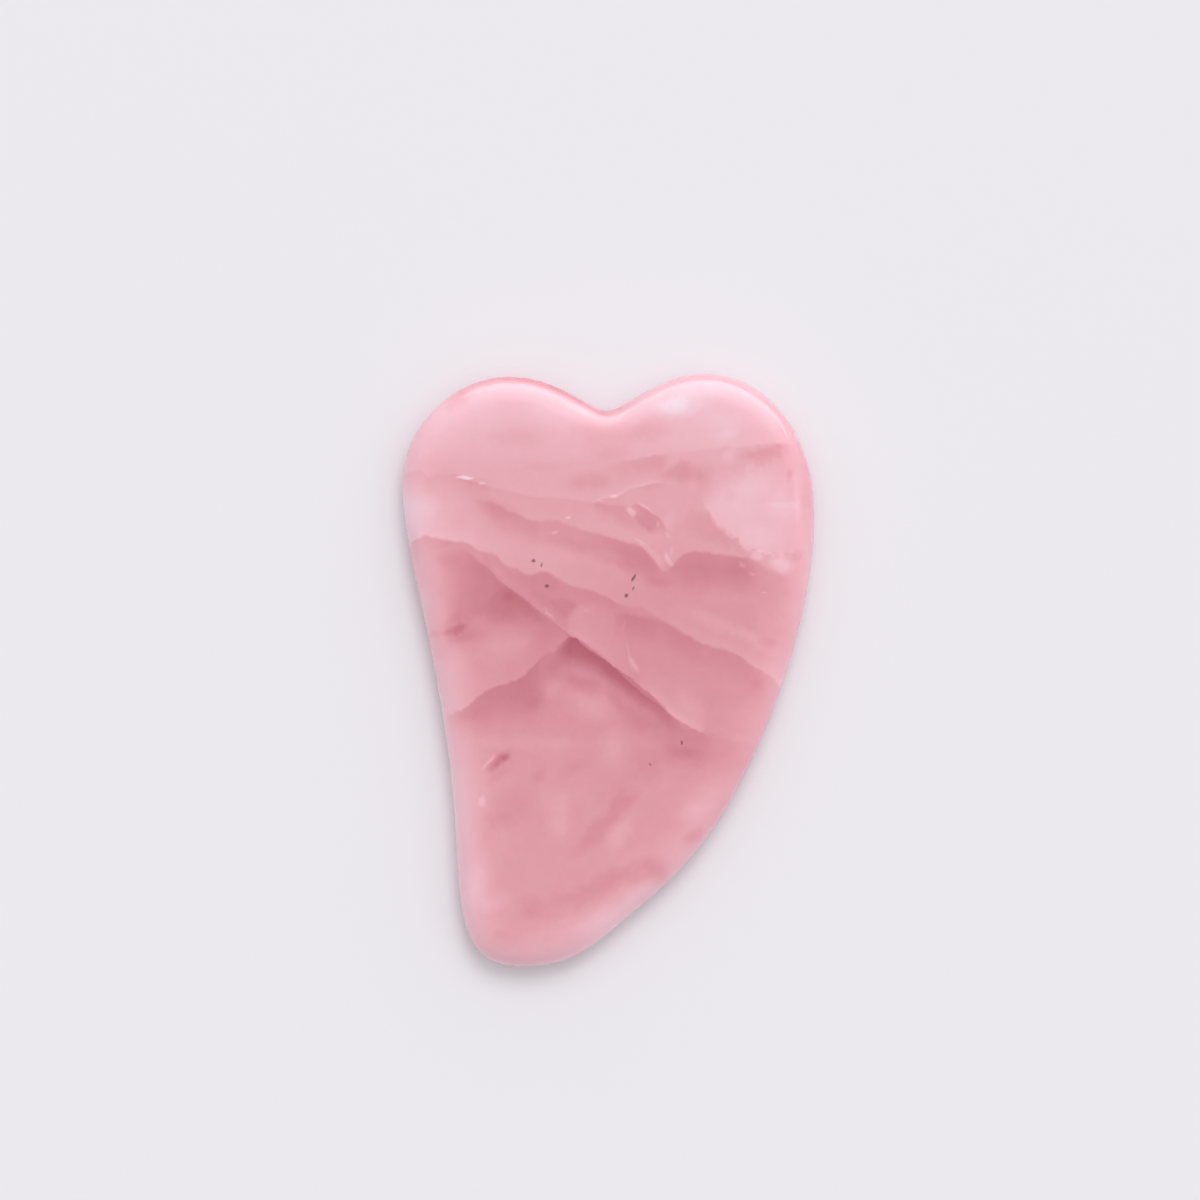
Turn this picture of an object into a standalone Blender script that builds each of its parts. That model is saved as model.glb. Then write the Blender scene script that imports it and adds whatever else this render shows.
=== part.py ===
"""A gua sha scraper: one flat plate of polished rose quartz, ground to a heart
with two lobes, a finger notch between them and a long tapering tail.

The stone lies flat. X is its width, +Y points to the lobes and -Y to the tail,
and Z is its thickness. It rests on its flat face at Z = 0, and the origin is at
the bottom centre of its bounding box.

Run with: blender --background --python part.py
"""

import math

import bpy
from mathutils import Vector

MM = 0.001

# ---------------------------------------------------------------- dimensions
LENGTH = 80.0 * MM  # tail tip to lobe tops
THICKNESS = 5.0 * MM  # flat face to flat face
RIM_WIDTH = 3.6 * MM  # how far in from the edge the rim is rolled over
OUTLINE_STEPS = 15  # straight steps in each of the outline's twelve spans
RIM_STEPS = 6  # steps from the widest line of the rim up to a flat face

# The outline, anticlockwise from the notch, as an engraver would dress it with
# a template: where it passes, its heading there in degrees from +X, and the
# lengths of the handles behind and ahead of that point, all in millimetres.
OUTLINE = (
    # name               x      y   heading  behind  ahead
    ("notch",           -0.2,  35.0,   180,    1.4,   1.4),
    ("left_slope",      -5.2,  37.3,   153,    3.0,   3.0),
    ("left_lobe",      -13.6,  39.6,   180,    3.4,   6.5),
    ("left_side",      -27.8,  25.2,   270,    8.5,   7.6),
    ("left_flank",     -23.6,   0.8,   280,    7.4,   9.8),
    ("left_tail",      -20.6, -22.8,   273,    9.6,  11.4),
    ("tail_tip",       -11.6, -40.0,     0,    8.0,   7.6),
    ("right_shoulder",   4.4, -31.8,    39,    7.4,  10.5),
    ("right_flank",     19.8, -11.1,    65,    8.5,  10.5),
    ("right_side",      27.8,  21.6,    91,   10.5,  11.0),
    ("right_lobe",      13.4,  40.0,   177,    7.6,   3.4),
    ("right_slope",      4.8,  37.4,   208,    3.0,   3.0),
)

# Rose quartz, polished.
STONE_COLOUR = (0.78, 0.36, 0.42, 1.0)
STONE_ROUGHNESS = 0.09
STONE_IOR = 1.54


def clear_scene():
    for obj in list(bpy.data.objects):
        bpy.data.objects.remove(obj, do_unlink=True)


def collection(name):
    found = bpy.data.collections.new(name)
    bpy.context.scene.collection.children.link(found)
    return found


def rose_quartz():
    material = bpy.data.materials.new("rose_quartz")
    material.use_nodes = True
    shader = material.node_tree.nodes["Principled BSDF"]
    shader.inputs["Base Color"].default_value = STONE_COLOUR
    shader.inputs["Roughness"].default_value = STONE_ROUGHNESS
    shader.inputs["Metallic"].default_value = 0.0
    shader.inputs["IOR"].default_value = STONE_IOR
    return material


def heart_outline(name):
    """The outline as a closed 2D Bezier curve in the plane Z = 0."""
    curve = bpy.data.curves.new(name, "CURVE")
    curve.dimensions = "2D"
    curve.resolution_u = OUTLINE_STEPS
    spline = curve.splines.new("BEZIER")
    spline.bezier_points.add(len(OUTLINE) - 1)
    for point, (_, x, y, heading, behind, ahead) in zip(spline.bezier_points, OUTLINE):
        turn = math.radians(heading)
        along = Vector((math.cos(turn), math.sin(turn), 0.0))
        point.handle_left_type = point.handle_right_type = "FREE"
        point.co = Vector((x, y, 0.0)) * MM
        point.handle_left = point.co - along * behind * MM
        point.handle_right = point.co + along * ahead * MM
    spline.use_cyclic_u = True
    return curve


def scraper_stone(home):
    """A flat outline whose bevel is the rolled rim: the bevel is drawn round and
    as deep as the rim is wide, and the object is flattened to the thickness."""
    curve = heart_outline("heart_outline")
    curve.fill_mode = "BOTH"
    curve.extrude = 0.0
    curve.bevel_depth = RIM_WIDTH
    curve.bevel_resolution = RIM_STEPS
    curve.offset = -RIM_WIDTH
    stone = bpy.data.objects.new("scraper_stone", curve)
    home.objects.link(stone)
    stone.scale.z = THICKNESS / (2.0 * RIM_WIDTH)
    curve.materials.append(rose_quartz())
    return stone


def centre_on_box(obj):
    """Puts the bottom centre of the object's bounding box on the origin, and
    brings its length to LENGTH, which the straight steps shorten a little."""
    bpy.context.view_layer.update()
    corners = [Vector(corner) for corner in obj.bound_box]
    low = [min(c[axis] for c in corners) for axis in range(3)]
    high = [max(c[axis] for c in corners) for axis in range(3)]
    grow = LENGTH / (high[1] - low[1])
    obj.scale.x = obj.scale.y = grow
    obj.location.x = -grow * (low[0] + high[0]) / 2.0
    obj.location.y = -grow * (low[1] + high[1]) / 2.0
    obj.location.z = -low[2] * obj.scale.z


def main():
    clear_scene()
    scene = bpy.context.scene
    scene.unit_settings.system = "METRIC"
    scene.unit_settings.scale_length = 1.0
    home = collection("gua_sha_scraper")
    stone = scraper_stone(home)
    centre_on_box(stone)


main()
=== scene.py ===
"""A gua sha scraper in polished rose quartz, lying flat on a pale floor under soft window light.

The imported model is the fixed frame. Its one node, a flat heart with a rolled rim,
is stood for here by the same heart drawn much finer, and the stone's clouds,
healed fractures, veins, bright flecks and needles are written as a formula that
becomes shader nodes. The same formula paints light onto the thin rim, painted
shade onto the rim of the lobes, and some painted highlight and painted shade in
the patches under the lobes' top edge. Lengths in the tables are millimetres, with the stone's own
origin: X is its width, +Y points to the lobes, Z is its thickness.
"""

import math

import bpy
import numpy as np
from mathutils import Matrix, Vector
from mathutils.geometry import delaunay_2d_cdt


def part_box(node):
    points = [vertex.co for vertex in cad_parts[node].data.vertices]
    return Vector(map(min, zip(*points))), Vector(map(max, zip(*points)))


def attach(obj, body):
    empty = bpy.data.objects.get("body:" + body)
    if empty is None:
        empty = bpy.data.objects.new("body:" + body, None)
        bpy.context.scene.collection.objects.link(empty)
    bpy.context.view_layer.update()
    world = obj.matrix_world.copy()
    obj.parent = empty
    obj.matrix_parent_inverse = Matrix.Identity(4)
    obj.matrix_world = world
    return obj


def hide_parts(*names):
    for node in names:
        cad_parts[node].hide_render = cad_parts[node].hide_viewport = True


MM = 0.001

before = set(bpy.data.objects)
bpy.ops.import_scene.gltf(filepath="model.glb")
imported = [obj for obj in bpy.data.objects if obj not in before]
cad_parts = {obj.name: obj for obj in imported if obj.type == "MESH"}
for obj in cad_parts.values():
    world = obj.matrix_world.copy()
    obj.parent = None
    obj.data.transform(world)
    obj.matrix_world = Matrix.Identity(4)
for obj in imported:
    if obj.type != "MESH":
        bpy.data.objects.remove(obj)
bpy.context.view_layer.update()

# ------------------------------------------------------------------ the heart
LENGTH = 80.0
THICKNESS = 5.0
RIM_WIDTH = 3.6
# Where the outline passes, its heading there in degrees from +X, and the lengths
# of the handles behind and ahead, anticlockwise from the notch: part.py's own.
OUTLINE = (
    # name               x      y   heading  behind  ahead
    ("notch",           -0.2,  35.0,   180,    1.4,   1.4),
    ("left_slope",      -5.2,  37.3,   153,    3.0,   3.0),
    ("left_lobe",      -13.6,  39.6,   180,    3.4,   6.5),
    ("left_side",      -27.8,  25.2,   270,    8.5,   7.6),
    ("left_flank",     -23.6,   0.8,   280,    7.4,   9.8),
    ("left_tail",      -20.6, -22.8,   273,    9.6,  11.4),
    ("tail_tip",       -11.6, -40.0,     0,    8.0,   7.6),
    ("right_shoulder",   4.4, -31.8,    39,    7.4,  10.5),
    ("right_flank",     19.8, -11.1,    65,    8.5,  10.5),
    ("right_side",      27.8,  21.6,    91,   10.5,  11.0),
    ("right_lobe",      13.4,  40.0,   177,    7.6,   3.4),
    ("right_slope",      4.8,  37.4,   208,    3.0,   3.0),
)
OUTLINE_POINTS = 420  # evenly spaced round the heart
RIM_RINGS = 18  # from the widest line of the rim up to a flat face
INNER_GRID = 1.1  # spacing of the flat faces' own points


def outline_points():
    """Evenly spaced points round the heart and the inward direction at each."""
    dense = []
    for here, there in zip(OUTLINE, OUTLINE[1:] + OUTLINE[:1]):
        a, b = np.array(here[1:3]), np.array(there[1:3])
        turn_a, turn_b = math.radians(here[3]), math.radians(there[3])
        c = a + here[5] * np.array((math.cos(turn_a), math.sin(turn_a)))
        d = b - there[4] * np.array((math.cos(turn_b), math.sin(turn_b)))
        for t in np.linspace(0.0, 1.0, 200, endpoint=False):
            s = 1.0 - t
            dense.append(a * s**3 + 3 * c * s * s * t + 3 * d * s * t * t + b * t**3)
    dense = np.array(dense)
    low, high = dense.min(0), dense.max(0)
    box_low, box_high = (np.array(corner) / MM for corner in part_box("scraper_stone"))
    size = (box_high - box_low)[:2]
    dense = (dense - (low + high) / 2.0) * size / (high - low) + (box_low + box_high)[:2] / 2.0
    closed = np.vstack([dense, dense[:1]])
    run = np.concatenate([[0.0], np.cumsum(np.linalg.norm(np.diff(closed, axis=0), axis=1))])
    stops = np.linspace(0.0, run[-1], OUTLINE_POINTS, endpoint=False)
    points = np.stack([np.interp(stops, run, closed[:, k]) for k in (0, 1)], 1)
    along = np.roll(points, -1, 0) - np.roll(points, 1, 0)
    along /= np.linalg.norm(along, axis=1)[:, None]
    inward = np.stack([-along[:, 1], along[:, 0]], 1)
    return points, inward


def stone_mesh():
    """The heart with its rim rolled as an ellipse from one flat face to the other.
    Each point keeps how far it lies in from the outline, in the attribute "edge"."""
    points, inward = outline_points()
    count = len(points)
    half = THICKNESS / 2.0
    verts, rings = [], []
    for k in range(-RIM_RINGS, RIM_RINGS + 1):
        turn = math.radians(90.0 * k / RIM_RINGS)
        inset = RIM_WIDTH * (1.0 - math.cos(turn))
        ring = points + inward * inset
        rings.append(len(verts))
        z = half + half * math.sin(turn)
        verts += [(x, y, z) for x, y in ring]
    faces = []
    for low, high in zip(rings, rings[1:]):
        for i in range(count):
            j = (i + 1) % count
            faces.append((low + i, low + j, high + j, high + i))
    # The flat faces are one net of triangles, used twice.
    loop = [Vector(p) for p in points + inward * RIM_WIDTH]
    flat = np.array(loop)
    rows = [
        (x + (row % 2) * INNER_GRID / 2.0, y)
        for row, y in enumerate(np.arange(-40.0, 40.0, INNER_GRID * 0.866))
        for x in np.arange(-30.0, 30.0, INNER_GRID)
    ]
    rows = np.array(rows)
    near = np.argmin(((rows[:, None, :] - points[None]) ** 2).sum(2), axis=1)
    depth = ((rows - points[near]) * inward[near]).sum(1)
    grid = [Vector(p) for p in rows[depth > RIM_WIDTH + 0.45 * INNER_GRID]]
    out = delaunay_2d_cdt(loop + grid, [], [list(range(count))], 1, 1e-5)
    net, net_faces = out[0], out[2]
    for z, last in ((0.0, rings[0]), (THICKNESS, rings[-1])):
        place = {}
        for index, p in enumerate(net):
            gap = ((flat - np.array(p)) ** 2).sum(1)
            near = int(np.argmin(gap))
            if gap[near] < 1e-8:
                place[index] = last + near
            else:
                place[index] = len(verts)
                verts.append((p.x, p.y, z))
        for face in net_faces:
            corners = [place[i] for i in face]
            faces.append(corners[::-1] if z == 0.0 else corners)
    mesh = bpy.data.meshes.new("rose_quartz_stone")
    mesh.from_pydata([tuple(c * MM for c in v) for v in verts], [], faces)
    mesh.validate()
    mesh.shade_smooth()
    edge = mesh.attributes.new("edge", "FLOAT", "POINT")
    edge.data.foreach_set("value", depth_in(points, np.array(verts)[:, :2]))
    return mesh


def depth_in(outline, places):
    """How far each place lies from the closed outline."""
    ahead = np.roll(outline, -1, 0) - outline
    length = (ahead**2).sum(1)
    depths = np.full(len(places), np.inf)
    for start, run, square in zip(outline, ahead, length):
        gap = places - start
        t = np.clip(gap @ run / square, 0.0, 1.0)
        depths = np.minimum(depths, np.hypot(*(gap - t[:, None] * run).T))
    return depths


# ------------------------------------------------- formulas as shader nodes
class Wire:
    """A number on its way through the shader. It adds and multiplies as numbers do."""

    def __init__(self, graph, socket):
        self.graph, self.socket = graph, socket

    def __add__(self, other):
        return self.graph.math("ADD", self, other)

    def __sub__(self, other):
        return self.graph.math("SUBTRACT", self, other)

    def __mul__(self, other):
        return self.graph.math("MULTIPLY", self, other)

    def __truediv__(self, other):
        return self.graph.math("DIVIDE", self, other)

    def __radd__(self, other):
        return self.graph.math("ADD", other, self)

    def __rsub__(self, other):
        return self.graph.math("SUBTRACT", other, self)

    def __rmul__(self, other):
        return self.graph.math("MULTIPLY", other, self)


class Graph:
    """Writes formulas of the place in the stone, in millimetres, as shader nodes."""

    def __init__(self, tree):
        self.tree = tree
        self.count = 0
        coordinates = self.add("ShaderNodeTexCoord")
        scale = self.add("ShaderNodeVectorMath", operation="SCALE")
        scale.inputs["Scale"].default_value = 1000.0
        self.link(coordinates.outputs["Object"], scale.inputs[0])
        self.place = scale.outputs[0]
        split = self.add("ShaderNodeSeparateXYZ")
        self.link(self.place, split.inputs[0])
        self.x, self.y, self.z = (Wire(self, s) for s in split.outputs)
        attribute = self.add("ShaderNodeAttribute", attribute_name="edge")
        self.edge = Wire(self, attribute.outputs["Fac"])

    def add(self, kind, **settings):
        node = self.tree.nodes.new(kind)
        for name, value in settings.items():
            setattr(node, name, value)
        node.location = (200 * (self.count // 12) - 4000, -180 * (self.count % 12))
        self.count += 1
        return node

    def link(self, source, target):
        self.tree.links.new(source, target)

    def feed(self, value, target):
        if isinstance(value, Wire):
            self.link(value.socket, target)
        else:
            target.default_value = value

    def math(self, operation, *values):
        node = self.add("ShaderNodeMath", operation=operation)
        for value, target in zip(values, node.inputs):
            self.feed(value, target)
        return Wire(self, node.outputs[0])

    def exp(self, a):
        return self.math("EXPONENT", a)

    def min(self, a, b):
        return self.math("MINIMUM", a, b)

    def max(self, a, b):
        return self.math("MAXIMUM", a, b)

    def pow(self, a, b):
        return self.math("POWER", a, b)

    def step(self, a, low, high, to=(0.0, 1.0), kind="SMOOTHSTEP"):
        """0 up to low, 1 from high on, and an even S between them."""
        node = self.add("ShaderNodeMapRange", interpolation_type=kind)
        self.feed(a, node.inputs["Value"])
        node.inputs["From Min"].default_value = low
        node.inputs["From Max"].default_value = high
        node.inputs["To Min"].default_value = to[0]
        node.inputs["To Max"].default_value = to[1]
        return Wire(self, node.outputs[0])

    def curve(self, a, points):
        """A smooth line through the points, level before the first and after the last."""
        points = sorted(points)
        first, last = points[0][0], points[-1][0]
        low = min(p[1] for p in points)
        high = max(p[1] for p in points)
        if high - low < 1e-9:
            high = low + 1.0
        along = self.step(a, first, last, kind="LINEAR")
        node = self.add("ShaderNodeFloatCurve")
        line = node.mapping.curves[0]
        for _ in points[2:]:
            line.points.new(0.5, 0.5)
        for handle, (x, y) in zip(line.points, points):
            handle.location = ((x - first) / (last - first), (y - low) / (high - low))
            handle.handle_type = "AUTO_CLAMPED"
        node.mapping.use_clip = False
        node.mapping.update()
        self.feed(along, node.inputs["Value"])
        return self.math("MULTIPLY_ADD", Wire(self, node.outputs[0]), high - low, low)

    def noise(self, size, detail, rough, at, stretch=(1.0, 1.0, 1.0)):
        """Clouds of that size in millimetres, about -1 to 1."""
        mapping = self.add("ShaderNodeMapping")
        mapping.inputs["Location"].default_value = at
        mapping.inputs["Scale"].default_value = [s / size for s in stretch]
        self.link(self.place, mapping.inputs["Vector"])
        node = self.add("ShaderNodeTexNoise", noise_dimensions="3D")
        node.inputs["Scale"].default_value = 1.0
        node.inputs["Detail"].default_value = detail
        node.inputs["Roughness"].default_value = rough
        self.link(mapping.outputs[0], node.inputs["Vector"])
        return self.math("MULTIPLY_ADD", Wire(self, node.outputs["Fac"]), 3.2, -1.6)

    def point(self, x, y):
        node = self.add("ShaderNodeCombineXYZ")
        self.feed(x, node.inputs[0])
        self.feed(y, node.inputs[1])
        return node.outputs[0]

    def patch(self, point, ragged, x, y, along, across, angle, amount, core):
        """A soft-edged ellipse: amount inside, 0 outside, level over its core."""
        mapping = self.add("ShaderNodeMapping", vector_type="TEXTURE")
        mapping.inputs["Location"].default_value = (x, y, 0.0)
        mapping.inputs["Rotation"].default_value = (0.0, 0.0, math.radians(angle))
        mapping.inputs["Scale"].default_value = (along, across, 1.0)
        self.link(point, mapping.inputs["Vector"])
        node = self.add("ShaderNodeTexGradient", gradient_type="SPHERICAL")
        self.link(mapping.outputs[0], node.inputs["Vector"])
        return self.step(
            Wire(self, node.outputs["Fac"]) * ragged, 0.0, 1.0 - core, (0.0, amount)
        )


# ------------------------------------------------------ what is in the stone
# Levels of lightness along the stone, from the lobes to the tail: (y, level).
BODY_TONE = ((-40.0, 161), (-36.5, 161), (-31.1, 163), (-25.7, 164), (-17.6, 163), (-12.2, 160), (-6.8, 158), (-1.4, 156), (2.7, 154), (6.8, 155), (12.2, 161), (17.6, 170), (21.6, 173), (25.7, 175), (29.7, 183), (31.7, 186), (33.8, 191), (35.8, 193), (40.0, 198))
# Painted light on the thin rim: how much lighter it is made on each side, as if light shone through the thin stone,
# partly making up for the shade the rim gets from the lamps: (y, levels).
LEFT_RIM_PAINTED_LIGHT = ((-40.0, 32), (-33.8, 32), (-25.7, 33), (-17.6, 38), (-4.1, 40), (9.5, 36), (17.6, 32), (25.7, 18), (31.1, 6), (37.8, 2))
RIGHT_RIM_PAINTED_LIGHT = ((-40.0, 34), (-36.5, 35), (-31.1, 26), (-24.3, 21), (-14.9, 12), (-4.1, 19), (9.5, 22), (17.6, 10), (31.1, -2), (37.8, 8))
# The rim of the lobes: painted shade over its last 1.5 mm and a pinker line of painted shade in its last 0.6 mm,
# where the polish turns down, holding back the window's light on that rim: (x, levels).
LOBE_SHADE = ((-27.0, -6), (-22.0, -10), (-14.0, -26), (-6.0, -24), (-1.0, -12), (3.0, -14), (7.0, -22), (14.0, -26), (20.0, -20), (27.0, -8))
LOBE_PAINTED_SHADE_LINE = ((-27.0, 0), (-20.0, -8), (-14.0, -20), (-6.0, -30), (0.0, -22), (4.0, -4), (10.0, 2), (20.0, 0))
# Healed fractures. Each runs across the stone as y = f(x) through its line's
# points; lean is how far it moves in y with each millimetre of depth; width is
# the softness of its edge and warp how much it wanders. Then the bright lip's
# levels along x and the length it dies away in, and the same for the hollow.
SEAMS = (
    (
        "seam_a",
        ((-28.15, 27.27), (-26.53, 27.00), (-25.18, 26.87), (-23.96, 25.92), (-22.75, 26.33), (-20.99, 26.33), (-18.70, 25.52), (-16.27, 24.71), (-13.97, 24.17), (-11.95, 23.76), (-9.92, 23.36), (-7.22, 23.09), (-4.52, 22.95), (-1.82, 22.55), (0.20, 22.14)),
        0.5, 0.25, 0.12,
        ((-28.1, -2), (-22.7, -2), (-18.7, 4), (-14.6, 4), (-9.2, 7), (-3.8, 6), (-1.1, 2), (0.2, 0)),
        1.0,
        ((-28.1, 8), (-24.8, 10), (-22.7, 6), (-20.0, 12), (-17.3, 12), (-14.6, 6), (-9.2, 6), (-2.5, 6), (0.2, 0)),
        1.8,
    ),
    (
        "seam_c",
        ((-27.47, 18.36), (-24.10, 17.96), (-22.07, 17.55), (-18.70, 17.01), (-17.62, 16.20), (-16.27, 15.93), (-15.19, 15.53), (-13.70, 13.91), (-12.49, 13.64), (-10.46, 12.83), (-8.98, 13.37), (-7.22, 12.56), (-5.20, 11.48), (-2.50, 10.67), (-0.34, 9.86), (1.82, 8.78), (4.25, 8.37), (6.95, 6.89), (9.92, 5.27), (13.03, 3.51), (16.40, 2.57), (18.43, 1.22), (20.05, 0.14), (22.61, -0.95), (25.85, -2.16)),
        0.8, 0.3, 0.2,
        ((-27.5, 8), (-24.1, 10), (-20.3, 14), (-17.3, 10), (-14.4, 8), (-8.8, 10), (-3.8, 10), (0.2, 8), (4.3, 6), (9.9, 12), (16.7, 14), (21.8, 16), (25.9, 8)),
        2.6,
        ((-27.5, 20), (-24.1, 20), (-20.7, 18), (-17.3, 12), (-14.6, 8), (-10.6, 10), (-6.5, 10), (-1.1, 12), (1.3, 8), (4.3, 4), (12.4, 4), (17.1, 4), (21.8, 2), (24.5, 0)),
        4.0,
    ),
    (
        "seam_d",
        ((-19.24, 16.34), (-18.16, 15.26), (-17.08, 14.31), (-16.00, 13.50), (-14.24, 11.75), (-11.95, 10.12), (-10.60, 9.04), (-9.11, 7.83), (-7.09, 6.35), (-5.47, 5.00), (-4.79, 4.46), (-3.58, 3.92), (-2.50, 3.11), (-0.20, 1.35), (1.55, -0.41), (3.17, -1.89), (4.93, -3.38), (6.95, -4.86), (8.30, -6.08), (9.65, -7.02)),
        -0.9, 0.16, 0.08,
        ((-19.2, 0), (-17.3, 2), (-14.6, 2), (-10.6, 4), (-7.1, 8), (-4.8, 8), (-1.1, 6), (1.6, 6), (4.3, 2), (9.7, 0)),
        0.9,
        ((-19.2, 0), (-17.9, 6), (-16.0, 10), (-12.6, 14), (-9.5, 12), (-7.9, 8), (-6.3, 8), (-4.8, 20), (-2.5, 20), (0.1, 20), (4.3, 18), (7.0, 14), (9.7, 0)),
        3.4,
    ),
    (
        "seam_d2",
        ((4.25, -2.16), (5.60, -3.24), (6.68, -4.32), (7.90, -5.54), (9.11, -6.48), (10.19, -7.16), (11.95, -8.10), (13.43, -8.51)),
        -0.9, 0.2, 0.1,
        ((3.7, 0), (5.3, 12), (7.0, 18), (9.7, 22), (11.5, 18), (13.2, 0)),
        2.0,
        ((4.3, 0), (5.6, 2), (8.6, 4), (11.9, 8), (13.4, 0)),
        2.0,
    ),
    (
        "seam_e",
        ((-21.53, -6.35), (-20.45, -5.54), (-19.78, -5.27), (-17.75, -3.78), (-16.40, -2.70), (-15.05, -2.16), (-13.43, -1.62), (-11.95, -0.95), (-10.19, 0.41), (-8.57, 1.89), (-6.95, 2.70), (-6.01, 3.65), (-4.79, 4.46)),
        -0.6, 0.28, 0.16,
        ((-22.7, 0), (-20.6, 4), (-17.6, 4), (-12.5, 4), (-9.2, 0), (-4.8, 0)),
        2.6,
        ((-21.9, 0), (-20.6, 6), (-18.7, 8), (-14.6, 8), (-10.6, 8), (-8.6, 6), (-6.5, 4), (-4.8, 0)),
        4.0,
    ),
    (
        "seam_m",
        ((-0.34, 27.54), (1.55, 28.08), (4.93, 28.49), (7.22, 29.03), (9.25, 29.30), (11.00, 29.43), (13.03, 29.70), (17.75, 30.11), (20.45, 30.38), (24.50, 30.65), (27.20, 31.05)),
        0.5, 0.3, 0.18,
        ((-0.3, 0), (4.3, 4), (7.2, 4), (12.4, 4), (17.8, 6), (24.5, 4), (26.9, 0)),
        2.0,
        ((-0.3, 0), (4.3, 4), (6.7, 4), (8.6, 2), (12.4, 6), (17.8, 6), (20.5, 6), (23.2, 6), (25.2, 0)),
        1.9,
    ),
    (
        "streak_a",
        ((-2.23, 22.41), (-0.20, 23.22), (1.55, 23.49), (2.50, 24.17), (4.25, 24.71), (6.95, 25.11), (8.98, 24.98), (11.00, 24.84)),
        0.4, 0.2, 0.1,
        ((-2.2, 0), (-0.9, 12), (1.1, 20), (2.2, 16), (4.3, 18), (6.3, 14), (8.3, 5), (11.0, 0)),
        0.5,
        ((-2.2, 0), (-0.5, 8), (1.6, 6), (3.6, 2), (5.3, 10), (7.2, 8), (8.6, 0), (11.0, 0)),
        0.8,
    ),
)
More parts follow.
